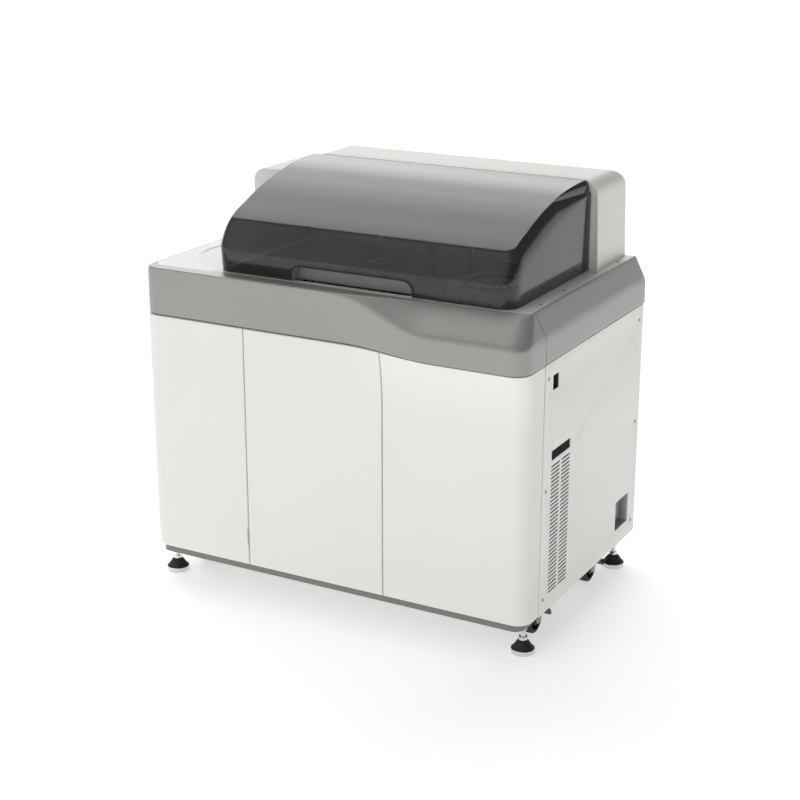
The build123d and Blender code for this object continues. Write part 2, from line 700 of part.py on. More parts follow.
def rear_cover():
    sides = (*REAR_COVER_X, COVER_LEAN)
    top = (COVER_TOP, 42)
    cover = cover_block(*sides, COVER_FRONT, COVER_BACK, *top, 0)
    cover -= cover_block(*sides, BULKHEAD, COVER_BACK, *top, SKIN)
    mouth = cover_block(*sides, COVER_FRONT - 84, COVER_BACK + 128, *top, SKIN)
    cover -= mouth & block(-HALF, HALF, COVER_FRONT - 90, BULKHEAD, Z_DECK - 20, COVER_TOP + 20)
    for k in range(20):
        x = -150 + 24 * k
        cover -= block(x, x + 6, COVER_BACK - 12, COVER_BACK + 8, COVER_TOP - 190, COVER_TOP - 110)
    return cover


def side_cover():
    shape = (*SIDE_COVER_X, 0, SIDE_COVER_FRONT, COVER_BACK, SIDE_COVER_TOP, 36)
    return cover_block(*shape, 0) - cover_block(*shape, SKIN)


def access_panel():
    face = fillet(Rectangle(100, 120).vertices(), 18)
    middle = (SIDE_COVER_X[0] + SIDE_COVER_X[1]) / 2 - 1.5
    face = Plane.XZ.offset(SHEET - SIDE_COVER_FRONT) * Pos(middle, SIDE_COVER_TOP - 99) * face
    return extrude(face, -2)


# Inside the cabinet


def power_supply():
    low = Z_FLOOR + SHEET
    front = Y_BACK - 269
    box = block(190, 410, front, front + 240, low, low + 140)
    box = fillet(box.edges().filter_by(Axis.Z), 4)
    for k in range(10):
        box -= block(230 + 14 * k, 238 + 14 * k, front - 10, front + 6, low + 26, low + 106)
    return box


def pump_unit():
    z = SHELF_Z + SHEET
    unit = block(-190, 100, -60, 120, z, z + 22)
    unit += block(-190, 100, 80, 120, z + 18, z + 178)
    for k in range(4):
        x = -150 + 70 * k
        unit += rod(x, 40, z + 18, z + 138, 16) + rod(x, 40, z + 138, z + 178, 5)
        unit += block(x - 24, x + 24, 10, 90, z + 138, z + 152)
    return unit


def fluid_tank(x):
    low = Z_FLOOR + SHEET
    can = block(x - 42, x + 42, -150, 150, low, low + 286)
    can = fillet(can.edges(), 14)
    return can + rod(x, -100, low + 284, low + 302, 22) + rod(x, -100, low + 302, low + 320, 26)


def fluid_tanks():
    return group([fluid_tank(-374), fluid_tank(-287)])


# Connections on the right side


def pocket(limits, depth):
    y0, y1, z0, z1 = limits
    outer = block(WALL_X - depth, WALL_X, y0 - 2, y1 + 2, z0 - 2, z1 + 2)
    return outer - block(HALF - depth, HALF + 10, y0, y1, z0, z1)


ROCKER_Y = (SWITCH[0] + SWITCH[1]) / 2
ROCKER_Z = (SWITCH[2] + SWITCH[3]) / 2
ROCKER_X = HALF - 17


def switch_housing():
    hole = Pos(ROCKER_X, ROCKER_Y, ROCKER_Z) * Rot(90, 0, 0) * Cylinder(2 + RUN, 60)
    return pocket(SWITCH, 26) - hole


def power_rocker():
    points = [(-5, -14), (6, -14), (3, 0), (6, 14), (-5, 14)]
    face = Plane.XZ.offset(-15) * make_face(Polyline(*points, close=True))
    key = Pos(0, -30, 0) * extrude(face, -30)
    key += Rot(90, 0, 0) * Cylinder(2, 37.4)
    return Pos(ROCKER_X, ROCKER_Y, ROCKER_Z) * Rot(0, 8, 0) * key


INLET_SPOT = (INLET[0] + 26, INLET[3] - 22)
DRAIN_SPOT = (INLET[0] + 26, INLET[2] + 20)


def inlet_plate():
    plate = pocket(INLET, 28)
    y, z = INLET_SPOT
    plate -= block(HALF - 50, HALF - 20, y - 15, y + 15, z - 11, z + 11)
    return plate - rod_x(HALF - 50, HALF - 20, DRAIN_SPOT[0], DRAIN_SPOT[1], 9)


def power_inlet():
    y, z = INLET_SPOT
    x = HALF - 28
    body = block(x - 18, x, y - 14.7, y + 14.7, z - 10.7, z + 10.7)
    body += block(x, x + 3.5, y - 20, y + 20, z - 14, z + 14)
    body -= block(x - 14, x + 8, y - 12, y + 12, z - 8, z + 8)
    for dy, dz in ((-7, -2), (0, 2), (7, -2)):
        body += block(x - 15, x, y + dy - 1, y + dy + 1, z + dz - 2.5, z + dz + 2.5)
    return body


def drain_fitting():
    y, z = DRAIN_SPOT
    x = HALF - 28
    body = rod_x(x - 22, x, y, z, 8.7) + rod_x(x, x + 6, y, z, 14) + rod_x(x, x + 16, y, z, 9)
    return body - rod_x(x - 26, x + 23, y, z, 5)


# Feet and casters


def foot(x, y):
    pad = rod(x, y, 0, 14, FOOT_R)
    pad = fillet(pad.edges(), 2)
    cone = Pos(x, y, 14 + 11) * Cone(27, 12, 22)
    hexes = extrude(Plane.XY.offset(30) * Pos(x, y) * RegularPolygon(12, 6), 14)
    nut = extrude(Plane.XY.offset(Z_RAIL - 12) * Pos(x, y) * RegularPolygon(10.5, 6), 11.7)
    return pad + cone + hexes + nut + rod(x, y, 30, Z_FLOOR - 1, STEM_R)


def fork_leg(x0, x1):
    points = [(18, 96), (-22, 96), (-41, 46), (-37, 33), (-20, 33), (-8, 48), (30, 52), (30, 64), (18, 70)]
    return prism_x(points, x0, x1)


def caster_fork(x, y):
    crown = rod(0, 0, CROWN_LOW, CROWN_TOP, 26)
    fork = crown + fork_leg(-21, -17) + fork_leg(17, 21)
    fork += rod_x(-23, 23, -TRAIL, WHEEL_Z, 4)
    fork += rod_x(-23, 23, 24, 58, 3)
    fork -= rod(0, 0, CROWN_LOW - 9, CROWN_TOP + 9, 6 + RUN)
    return Pos(x, y, 0) * fork


def caster_wheel(x, y):
    wheel = Rot(0, 90, 0) * Cylinder(WHEEL_R, 28)
    wheel = fillet(wheel.edges(), 5)
    wheel += Rot(0, 90, 0) * Cylinder(10, 32)
    groove = Rot(0, 90, 0) * (Cylinder(28, 40) - Cylinder(16, 40))
    wheel -= Pos(23, 0, 0) * groove + Pos(-23 - 10, 0, 0) * groove + Pos(10, 0, 0) * groove
    wheel -= Rot(0, 90, 0) * Cylinder(4 + RUN, 60)
    return Pos(x, y - TRAIL, WHEEL_Z) * wheel


def caster_pedal(x, y):
    points = [(18, 58), (24, 64), (30, 60), (66, 26), (68, 16), (62, 15), (26, 50)]
    lever = prism_x(points, -14, 14)
    lever += rod_x(-14, 14, 24, 58, 6)
    lever -= rod_x(-20, 20, 24, 58, 3 + RUN)
    return Pos(x, y, 0) * lever


def save(name, shape):
    export_step(shape, "parts/" + name + ".step")


save("base_frame", base_frame())
save("frame_posts", frame_posts())
save("cabinet_walls", cabinet_walls())
save("side_panel_left", side_panel_left())
save("side_panel_right", side_panel_right())
save("rear_panel", rear_panel())
save("vent_filter", vent_filter())
save("panel_screws", panel_screws())
save("front_band", front_band())
save("side_band_left", side_band_left())
save("side_band_right", side_band_right())
save("door_left", door_left())
save("door_middle", door_middle())
save("door_right", door_right())
save("door_pins", door_pins())
save("deck", deck())
save("work_deck", work_deck())
save("sample_disk", sample_disk())
save("sample_tubes", sample_tubes())
save("reaction_disk", reaction_disk())
save("cuvettes", cuvettes())
save("reagent_disk", reagent_disk())
save("reagent_bottles", reagent_bottles())
save("sample_post", post(SAMPLE_POST))
save("sample_arm", arm(SAMPLE_POST, SAMPLE_REACH, 270, 1.5, 50))
save("reagent_post", post(REAGENT_POST))
save("reagent_arm", arm(REAGENT_POST, REAGENT_REACH, 270, 1.5, 50))
save("mixer_post", post(MIXER_POST))
save("mixer_arm", mixer_arm())
save("wash_head", wash_head())
save("hood", hood())
save("hood_fittings", hood_fittings())
save("hinge_brackets", hinge_brackets())
save("rear_cover", rear_cover())
save("side_cover", side_cover())
save("access_panel", access_panel())
save("power_supply", power_supply())
save("pump_unit", pump_unit())
save("fluid_tanks", fluid_tanks())
save("switch_housing", switch_housing())
save("power_rocker", power_rocker())
save("inlet_plate", inlet_plate())
save("power_inlet", power_inlet())
save("drain_fitting", drain_fitting())

for side, sign in (("left", -1), ("right", 1)):
    for end, row in (("front", 0), ("rear", 1)):
        spot = end + "_" + side
        save("foot_" + spot, foot(sign * FOOT_X, FOOT_Y[row]))
        save("caster_fork_" + spot, caster_fork(sign * CASTER_X, CASTER_Y[row]))
        save("caster_wheel_" + spot, caster_wheel(sign * CASTER_X, CASTER_Y[row]))
        save("caster_pedal_" + spot, caster_pedal(sign * CASTER_X, CASTER_Y[row]))
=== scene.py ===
import bmesh
import bpy
import json
import math
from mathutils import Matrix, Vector


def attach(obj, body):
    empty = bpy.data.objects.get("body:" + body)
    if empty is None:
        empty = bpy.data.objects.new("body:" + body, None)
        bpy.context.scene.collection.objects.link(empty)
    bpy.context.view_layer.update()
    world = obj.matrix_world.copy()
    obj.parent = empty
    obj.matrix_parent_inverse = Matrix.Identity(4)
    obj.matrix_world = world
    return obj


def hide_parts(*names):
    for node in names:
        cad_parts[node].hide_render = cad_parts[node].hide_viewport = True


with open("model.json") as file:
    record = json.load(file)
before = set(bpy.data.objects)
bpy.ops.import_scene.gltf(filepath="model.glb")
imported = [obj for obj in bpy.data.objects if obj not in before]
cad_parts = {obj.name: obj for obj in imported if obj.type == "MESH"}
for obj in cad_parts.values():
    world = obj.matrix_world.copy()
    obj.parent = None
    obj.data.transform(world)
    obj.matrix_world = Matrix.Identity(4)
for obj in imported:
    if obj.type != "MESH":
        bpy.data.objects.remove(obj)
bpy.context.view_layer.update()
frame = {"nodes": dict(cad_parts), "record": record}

MM = 0.001

# Sizes in millimetres, the same as the cabinet's own
HALF = 550
Y_DOOR = -331
Y_RETURN = -257
Y_BACK = 379
Z_DOOR = 93
Z_FLARE = 590
Z_DOOR_TOP = 736
Z_BAND = 739
Z_DECK = 861
DOOR_CORNER = 40
SEAM_LEFT = -242.7
SEAM_RIGHT = 156.1
SEAM_HALF = 1.5
BAND_HALF = 552
BAND_CORNER = 45
Y_BAND_LEFT = -328
Y_BAND_RIGHT = -379
BULGE_START = 45
BULGE_END = 320
SAMPLE = (-205, -40)
REAGENT = (310, -30)


# Materials


def colour(code):
    parts = [int(code[k : k + 2], 16) / 255 for k in (1, 3, 5)]
    linear = [c / 12.92 if c <= 0.04045 else ((c + 0.055) / 1.055) ** 2.4 for c in parts]
    return (*linear, 1.0)


def add(tree, kind, inputs=None, **settings):
    node = tree.nodes.new(kind)
    for key, value in settings.items():
        setattr(node, key, value)
    for key, value in (inputs or {}).items():
        if isinstance(value, bpy.types.NodeSocket):
            tree.links.new(value, node.inputs[key])
        else:
            node.inputs[key].default_value = value
    return node


def finish_material(name, shell, low, high, grain, bump, rough, spread):
    """A surface whose colour drifts between two near tones over a few hundred millimetres,
    with a fine grain in its roughness and relief. Grain is the pattern's real size in mm."""
    made = bpy.data.materials.new(name)
    made.use_nodes = True
    tree = made.node_tree
    tree.nodes.clear()
    place = add(tree, "ShaderNodeTexCoord").outputs["Object"]
    drift = add(tree, "ShaderNodeTexNoise", {"Vector": place, "Scale": 3.0, "Detail": 3.0})
    tone = add(tree, "ShaderNodeMix", {"Factor": drift.outputs["Fac"]}, data_type="RGBA")
    tone.inputs["A"].default_value = colour(low)
    tone.inputs["B"].default_value = colour(high)
    fine = add(tree, "ShaderNodeTexNoise", {"Vector": place, "Scale": 1000 / grain, "Detail": 4.0})
    gloss = add(tree, "ShaderNodeMapRange", {"Value": fine.outputs["Fac"]})
    gloss.inputs["To Min"].default_value = rough - spread
    gloss.inputs["To Max"].default_value = rough + spread
    relief = add(tree, "ShaderNodeBump", {"Height": fine.outputs["Fac"], "Strength": 1.0})
    relief.inputs["Distance"].default_value = bump * MM
    skin = add(tree, "ShaderNodeBsdfPrincipled", {"Base Color": tone.outputs["Result"]})
    tree.links.new(gloss.outputs["Result"], skin.inputs["Roughness"])
    tree.links.new(relief.outputs["Normal"], skin.inputs["Normal"])
    for key, value in shell.items():
        skin.inputs[key].default_value = value
    add(tree, "ShaderNodeOutputMaterial", {"Surface": skin.outputs["BSDF"]})
    return made


# Powder coat on sheet steel: an even satin white with a fine orange peel
POWDER_WHITE = finish_material(
    "powder_coated_steel_white", {"IOR": 1.5}, "#EDEDE9", "#E8E8E4", 2.2, 0.010, 0.38, 0.05)
# Lacquered moulded polyurethane foam, silver grey with a slight metal flake
SILVER_LACQUER = finish_material(
    "silver_lacquered_polyurethane", {"IOR": 1.5, "Metallic": 0.35},
    "#A09F9C", "#999895", 1.6, 0.006, 0.36, 0.05)
# Moulded ABS for the covers: warm white, soft sheen, faint spark-eroded texture
COVER_WHITE = finish_material(
    "moulded_abs_white", {"IOR": 1.53}, "#E2E1DD", "#DDDCD7", 1.4, 0.012, 0.42, 0.06)
# Moulded ABS of the deck, a little cooler and smoother
DECK_WHITE = finish_material(
    "moulded_abs_deck", {"IOR": 1.53}, "#E9E9E6", "#E4E4E1", 1.4, 0.008, 0.33, 0.05)
# Base frame: semi-gloss grey enamel over welded tube
FRAME_GREY = finish_material(
    "grey_enamelled_steel", {"IOR": 1.5}, "#7C7C79", "#747471", 2.5, 0.012, 0.42, 0.06)
# Zinc-plated sheet inside the cabinet
ZINC = finish_material(
    "zinc_plated_sheet", {"Metallic": 1.0}, "#B9BBBC", "#A6A9AB", 3.0, 0.008, 0.38, 0.10)
# Work surface under the hood: brushed stainless sheet
STAINLESS = finish_material(
    "stainless_work_sheet", {"Metallic": 1.0}, "#A4A6A8", "#96989A", 0.8, 0.006, 0.32, 0.08)
# Ground and polished stainless posts
POLISHED = finish_material(
    "polished_stainless_steel", {"Metallic": 1.0}, "#D4D4D4", "#C8C8C8", 0.9, 0.002, 0.14, 0.05)
# Chrome plated feet: bright, nearly a mirror
CHROME = finish_material(
    "chrome_plated_steel", {"Metallic": 1.0}, "#DCDCDC", "#CFCFCF", 1.2, 0.002, 0.10, 0.04)
# Stainless button screws
SCREW_STEEL = finish_material(
    "stainless_screw", {"Metallic": 1.0}, "#B6B6B5", "#A2A2A1", 0.8, 0.004, 0.28, 0.08)
# Black moulded polyamide: fittings, pedals, switch and inlet
BLACK_NYLON = finish_material(
    "black_polyamide", {"IOR": 1.53}, "#171717", "#101010", 0.9, 0.012, 0.46, 0.08)
# Glossy black rocker
BLACK_GLOSS = finish_material(
    "black_gloss_abs", {"IOR": 1.53}, "#121212", "#0C0C0C", 1.5, 0.002, 0.16, 0.04)
# Rubber of the wheels, the cones on the feet and the edging of the handle notch
BLACK_RUBBER = finish_material(
    "black_moulded_rubber", {"IOR": 1.52}, "#1C1C1B", "#131312", 1.1, 0.020, 0.62, 0.08)
# Open-cell foam of the air filter
FILTER_FOAM = finish_material(
    "open_cell_filter_foam", {"IOR": 1.4}, "#0E0E0E", "#050505", 1.8, 0.400, 0.90, 0.05)
# Carousel plates: anodised aluminium with a matt grey dye
ANODISED_GREY = finish_material(
    "grey_anodised_aluminium", {"Metallic": 0.8}, "#94979B", "#888B8F", 0.9, 0.004, 0.36, 0.06)
# Black anodised reaction disk
ANODISED_BLACK = finish_material(
    "black_anodised_aluminium", {"Metallic": 0.6}, "#1D1D1F", "#141416", 0.9, 0.004, 0.36, 0.06)
# Sample tubes: cloudy clear polypropylene, smooth and a little blue
TUBE_PLASTIC = finish_material(
    "clear_polypropylene", {"IOR": 1.49, "Transmission Weight": 0.45},
    "#DCE3E8", "#D2DAE0", 2.0, 0.003, 0.22, 0.04)
# Reagent bottles: opaque warm white with the waxy sheen of blown plastic
BOTTLE_WHITE = finish_material(
    "white_polyethylene", {"IOR": 1.51}, "#DFDFD8", "#D6D6CE", 2.0, 0.010, 0.38, 0.05)
# Rings on the bottles' necks: plain blue, satin
CAP_BLUE = finish_material(
    "blue_polyethylene_cap", {"IOR": 1.51}, "#3C6EA6", "#34639A", 1.5, 0.006, 0.36, 0.05)
# Cuvettes: clear, polished, with hard reflections
CUVETTE = finish_material(
    "clear_optical_plastic", {"IOR": 1.49, "Transmission Weight": 0.8},
    "#EEF2F4", "#E6ECEF", 2.0, 0.001, 0.08, 0.02)
# Painted cast covers of the arms
ARM_WHITE = finish_material(
    "gloss_painted_arm_cover", {"IOR": 1.5}, "#E4E6E6", "#DCDEDE", 1.8, 0.004, 0.22, 0.04)
# Grey moulded housings of the pumps
PUMP_GREY = finish_material(
    "grey_moulded_housing", {"IOR": 1.53}, "#63676B", "#595D61", 1.2, 0.012, 0.44, 0.06)
# Blown polyethylene tanks: plain white with a coarser grain than the bottles
TANK_WHITE = finish_material(
    "blown_polyethylene_tank", {"IOR": 1.51}, "#E4E5E2", "#DADCD8", 2.4, 0.020, 0.40, 0.05)
# Serum standing in the tubes: clear amber liquid
SERUM = finish_material(
    "amber_serum", {"IOR": 1.34, "Transmission Weight": 0.2}, "#C99A3C", "#B98A30", 3.0, 0.001, 0.10, 0.02)


def smoked_material():
    """Thermoformed smoked acrylic, about 3 mm: nearly black, lets a little of the inside show when
    looked at squarely, and mirrors the room more as it turns away from the eye."""
    made = bpy.data.materials.new("smoked_acrylic")
    made.use_nodes = True
    tree = made.node_tree
    tree.nodes.clear()
    place = add(tree, "ShaderNodeTexCoord").outputs["Object"]
    ripple = add(tree, "ShaderNodeTexNoise", {"Vector": place, "Scale": 7.0, "Detail": 1.0})
    relief = add(tree, "ShaderNodeBump", {"Height": ripple.outputs["Fac"], "Strength": 0.25})
    relief.inputs["Distance"].default_value = 0.4 * MM
    turned = add(tree, "ShaderNodeLayerWeight", {"Blend": 0.5})
    cover = add(tree, "ShaderNodeMapRange", {"Value": turned.outputs["Facing"]})
    cover.inputs["To Min"].default_value = 0.50
    cover.inputs["To Max"].default_value = 1.0
    skin = add(tree, "ShaderNodeBsdfPrincipled", {"Normal": relief.outputs["Normal"]})
    tree.links.new(cover.outputs["Result"], skin.inputs["Alpha"])
    skin.inputs["Base Color"].default_value = colour("#262626")
    skin.inputs["Roughness"].default_value = 0.11
    skin.inputs["IOR"].default_value = 1.49
    skin.inputs["Specular IOR Level"].default_value = 0.85
    add(tree, "ShaderNodeOutputMaterial", {"Surface": skin.outputs["BSDF"]})
    return made


SMOKED = smoked_material()
# Handle pocket behind the notch: moulded plastic, a lighter grey than the hood
SMOKED_SOLID = finish_material(
    "smoked_moulded_acrylic", {"IOR": 1.49}, "#8A8A88", "#80807E", 2.0, 0.004, 0.24, 0.04)


# Pieces


def new_piece(name, mesh, body, material, slot, *nodes):
    piece = bpy.data.objects.new(name, mesh)
    bpy.context.scene.collection.objects.link(piece)
    mesh.materials.clear()
    mesh.materials.append(material)
    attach(piece, body)
    if nodes:
        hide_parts(*nodes)
    return piece


def shade(mesh, angle=32):
    mesh.polygons.foreach_set("use_smooth", [True] * len(mesh.polygons))
    mesh.set_sharp_from_angle(angle=math.radians(angle))


def evaluated(piece):
    graph = bpy.context.evaluated_depsgraph_get()
    mesh = bpy.data.meshes.new_from_object(piece.evaluated_get(graph))
    piece.modifiers.clear()
    piece.data = mesh
    return mesh


def node_slot(node):
    for entry in frame["record"]["subparts"]:
        if entry["node"] == node:
            return entry["material_slot"]


def node_body(node):
    for body, members in frame["record"]["behaviour"]["bodies"].items():
        if node in members:
            return body


def softened(node, material, edge=0.8, angle=32, segments=3):
    """The CAD piece with its facets joined, its edges broken by a small radius in mm and
    its curved faces shaded smooth."""
    form = bmesh.new()
    form.from_mesh(frame["nodes"][node].data)
    bmesh.ops.remove_doubles(form, verts=form.verts, dist=0.00002)
    bmesh.ops.dissolve_limit(form, angle_limit=math.radians(0.5), verts=form.verts, edges=form.edges)
    mesh = bpy.data.meshes.new(node + "_form")
    form.to_mesh(mesh)
    form.free()
    piece = new_piece(node + "_finished", mesh, node_body(node), material, node_slot(node), node)
    if edge:
        bevel = piece.modifiers.new("edge", "BEVEL")
        bevel.width = edge * MM
        bevel.segments = segments
        bevel.limit_method = "ANGLE"
        bevel.angle_limit = math.radians(angle)
        bevel.harden_normals = False
        mesh = evaluated(piece)
    shade(mesh, angle)
    return piece


def banded(piece, materials, pick):
    """Gives each face one of several materials, chosen by pick from the face's middle in mm."""
    mesh = piece.data
    for material in materials:
        mesh.materials.append(material)
    for face in mesh.polygons:
        face.material_index = pick(face.center / MM)


def grid_mesh(name, rows, skip=None):
    """A sheet through rows of points, every row with as many points."""
    form = bmesh.new()
    verts = [[form.verts.new(Vector(p) * MM) for p in row] for row in rows]
    for i in range(len(rows) - 1):
        for j in range(len(rows[0]) - 1):
            if skip and skip(i, j):
                continue
            corners = (verts[i][j], verts[i][j + 1], verts[i + 1][j + 1], verts[i + 1][j])
            form.faces.new(corners)
    bmesh.ops.remove_doubles(form, verts=form.verts, dist=0.00001)
    bmesh.ops.dissolve_degenerate(form, edges=form.edges, dist=0.00001)
    loose = [v for v in form.verts if not v.link_faces]
    bmesh.ops.delete(form, geom=loose, context="VERTS")
    mesh = bpy.data.meshes.new(name)
    form.to_mesh(mesh)
    form.free()
    return mesh


def thicken(piece, wall, angle=32):
    wall_step = piece.modifiers.new("wall", "SOLIDIFY")
    wall_step.thickness = wall * MM
    wall_step.offset = -1
    mesh = evaluated(piece)
    shade(mesh, angle)


def smooth(value, start, end):
    u = min(max((value - start) / (end - start), 0), 1)
    return u * u * (3 - 2 * u)


def mix(a, b, t):
    return a + (b - a) * t


# Doors: one sheet each, bent round the corner and flared out at the top to meet the band


def door_front_y(x, z):
    rise = max(z - Z_FLARE, 0) / (Z_BAND - Z_FLARE)
    depth = (Y_BAND_RIGHT + 2 - Y_DOOR) * rise * rise
    return Y_DOOR + depth * smooth(x, BULGE_START, BULGE_END)


def door_path(s, z):
    """Point and outward normal on the doors' outline at height z. s is x on the flat front and
    goes on round the corner and along the side in millimetres."""
    flat = HALF - DOOR_CORNER
    turn = DOOR_CORNER * math.pi / 2
    side = 1 if s > 0 else -1
    t = abs(s)
    if t <= flat:
        y = door_front_y(s, z)
        slope = (door_front_y(s + 1, z) - door_front_y(s - 1, z)) / 2
        normal = Vector((slope, -1)).normalized()
        return Vector((s, y)), normal
    y = door_front_y(side * flat, z)
    if t <= flat + turn:
        a = (t - flat) / DOOR_CORNER
        normal = Vector((side * math.sin(a), -math.cos(a)))
        return Vector((side * flat, y + DOOR_CORNER)) + DOOR_CORNER * normal, normal
    return Vector((side * HALF, y + DOOR_CORNER + t - flat - turn)), Vector((side, 0))


def steps(start, end, count):
    return [mix(start, end, k / count) for k in range(count + 1)]


# Shares of an edge's radius at which it gets a row of points
EDGE_STEPS = (0.0, 0.12, 0.4, 0.75, 1.0)
DOOR_SHEET = 1.8
DOOR_FLANGE = 24.0
DOOR_EDGE_R = 2.5
DOOR_BOTTOM_R = 6.0
# Finger pull: a shallow bow in the left door's edge, and the heights where it starts and ends
PULL_DEPTH = 3.0
PULL_WIDTH = 40
PULL_LOW = (148, 157)
PULL_HIGH = (193, 202)


def rolled(radius, gap):
    """How far an edge has rolled in, gap millimetres outside the place where its radius starts."""
    gap = max(gap, 0)
    return radius - math.sqrt(max(radius**2 - gap**2, 0))


def door_rows(s_marks, s_low, s_high, pulled=False):
    """Rows of points from the bottom edge to the top. Edges roll in by their radius and then
    run back as flanges. A pulled door has the finger pull in its high edge."""
    r = DOOR_EDGE_R
    z_marks = [Z_DOOR + DOOR_BOTTOM_R * k for k in EDGE_STEPS] + [120]
    z_marks += [PULL_LOW[0], 152, PULL_LOW[1], PULL_HIGH[0], 198, PULL_HIGH[1], 300]
    z_marks += steps(420, Z_FLARE, 4)[:-1] + steps(Z_FLARE, Z_DOOR_TOP - r, 22)
    z_marks += [Z_DOOR_TOP - r * k for k in EDGE_STEPS[-2::-1]]
    z_list = [(Z_DOOR, DOOR_FLANGE)] + [(z, 0.0) for z in z_marks] + [(Z_DOOR_TOP, DOOR_FLANGE)]
    rows = []
    for z, flange_z in z_list:
        inset_z = rolled(DOOR_BOTTOM_R, DOOR_BOTTOM_R - (z - Z_DOOR))
        inset_z += rolled(r, r - (Z_DOOR_TOP - z))
        pull = PULL_DEPTH * smooth(z, *PULL_LOW) * (1 - smooth(z, *PULL_HIGH))
        row = []
        for s, flange_s in s_marks:
            inset_s = rolled(r, r - abs(s - s_low)) + rolled(r, r - abs(s - s_high))
            if pulled and abs(s - s_high) <= PULL_WIDTH:
                s -= pull * (1 - abs(s - s_high) / PULL_WIDTH)
            at, normal = door_path(s, z)
            inset = max(min(inset_s + inset_z, DOOR_BOTTOM_R), flange_s, flange_z)
            at = at - normal * inset
            row.append((at.x, at.y, z))
        rows.append(row)
    return rows


def door_skin(name, node, s_low, s_high, inner_marks, left=False):
    """The sheet of the left or the middle door. The left one goes round the corner at its low
    end, where it has no flange, and has the finger pull at its high end."""
    marks = [s_low + DOOR_EDGE_R * k for k in EDGE_STEPS] + inner_marks
    marks += [s_high - DOOR_EDGE_R * k for k in EDGE_STEPS[::-1]]
    s_marks = [(s_low, 0.0 if left else DOOR_FLANGE)] + [(s, 0.0) for s in marks]
    s_marks += [(s_high, DOOR_FLANGE)]
    rows = door_rows(s_marks, s_low, s_high, left)
    last_i = len(rows) - 2
    last_j = len(s_marks) - 2
    mesh = grid_mesh(name, rows, lambda i, j: i in (0, last_i) and j in (0, last_j))
    piece = new_piece(name, mesh, node_body(node), POWDER_WHITE, node_slot(node), node)
    thicken(piece, DOOR_SHEET)


def build_doors():
    flat = HALF - DOOR_CORNER
    turn = DOOR_CORNER * math.pi / 2
    left_end = -(flat + turn + Y_RETURN - Y_DOOR - DOOR_CORNER)
    corner = [-(flat + turn * k / 12) for k in range(12, -1, -1)]
    marks = [left_end + 12] + corner + steps(-480, -290, 5) + [-262, -252]
    door_skin("door_left_skin", "door_left", left_end, SEAM_LEFT - SEAM_HALF, marks, left=True)
    marks = [-225] + steps(-190, 40, 6) + steps(50, 140, 12)
    door_skin("door_middle_skin", "door_middle", SEAM_LEFT + SEAM_HALF, SEAM_RIGHT - SEAM_HALF, marks)
    corner = [flat + turn * k / 12 for k in range(13)]
    marks = steps(170, BULGE_END, 20) + steps(350, 480, 4) + corner
    door_right(marks)


def door_right(marks):
    """The right door's side flange is cut level with its seam, so each row ends there."""
    s_low = SEAM_RIGHT + SEAM_HALF
    flat = HALF - DOOR_CORNER
    turn = DOOR_CORNER * math.pi / 2
    side_marks = (0.12, 0.3, 0.6, 0.9, 1.0)
    s_marks = [(s_low, DOOR_FLANGE)] + [(s_low + DOOR_EDGE_R * k, 0.0) for k in EDGE_STEPS]
    s_marks += [(s, 0.0) for s in marks]
    # No high edge rolls in here, so it is placed far past the last mark
    far = flat + turn + 500
    rows = door_rows(s_marks, s_low, far)
    for row in rows:
        x, y, z = row[-1]
        for k in side_marks:
            row.append((x, mix(y, Y_RETURN, k), z))
    last_i = len(rows) - 2
    mesh = grid_mesh("door_right_skin", rows, lambda i, j: i in (0, last_i) and j == 0)
    piece = new_piece("door_right_skin", mesh, "right_door", POWDER_WHITE, "white_paint", "door_right")
    thicken(piece, DOOR_SHEET)


# Front and side bands

BAND_FLAT = BAND_HALF - BAND_CORNER
BAND_SHEET = 2.4
# The band's slope ends in the top line, and the ledge runs on from there to the deck's edge.
# Each line is given by the x of its sides, the y of its front and the radius of its corners.
TOP_LEFT_X = -545
TOP_LEFT_Y = -325
TOP_LEFT_R = 40
TOP_RIGHT_X = 521.7
TOP_RIGHT_Y = -286
TOP_RIGHT_R = 27
LEDGE_LEFT_X = -541
LEDGE_LEFT_Y = -296
LEDGE_LEFT_R = 38
LEDGE_RIGHT_X = 517.2
LEDGE_RIGHT_Y = -283
LEDGE_RIGHT_R = 24
# Heights where the upright face turns into the slope
KNEE_SIDE = 853
KNEE_LEFT = 858
KNEE_RIGHT = 801
# Where along x the top line and the knee change over, and where the ledge line does
TOP_BULGE = (0, 285)
LEDGE_STEP = (-356, -344)


def left_corner(x, y, r, a):
    """Point at angle a round a corner of radius r between the side at x and the front at y."""
    return (x + r - r * math.cos(a), y + r - r * math.sin(a))


def right_corner(x, y, r, a):
    """The same round a right corner, with a counted from the front."""
    return (x - r + r * math.sin(a), y + r - r * math.cos(a))


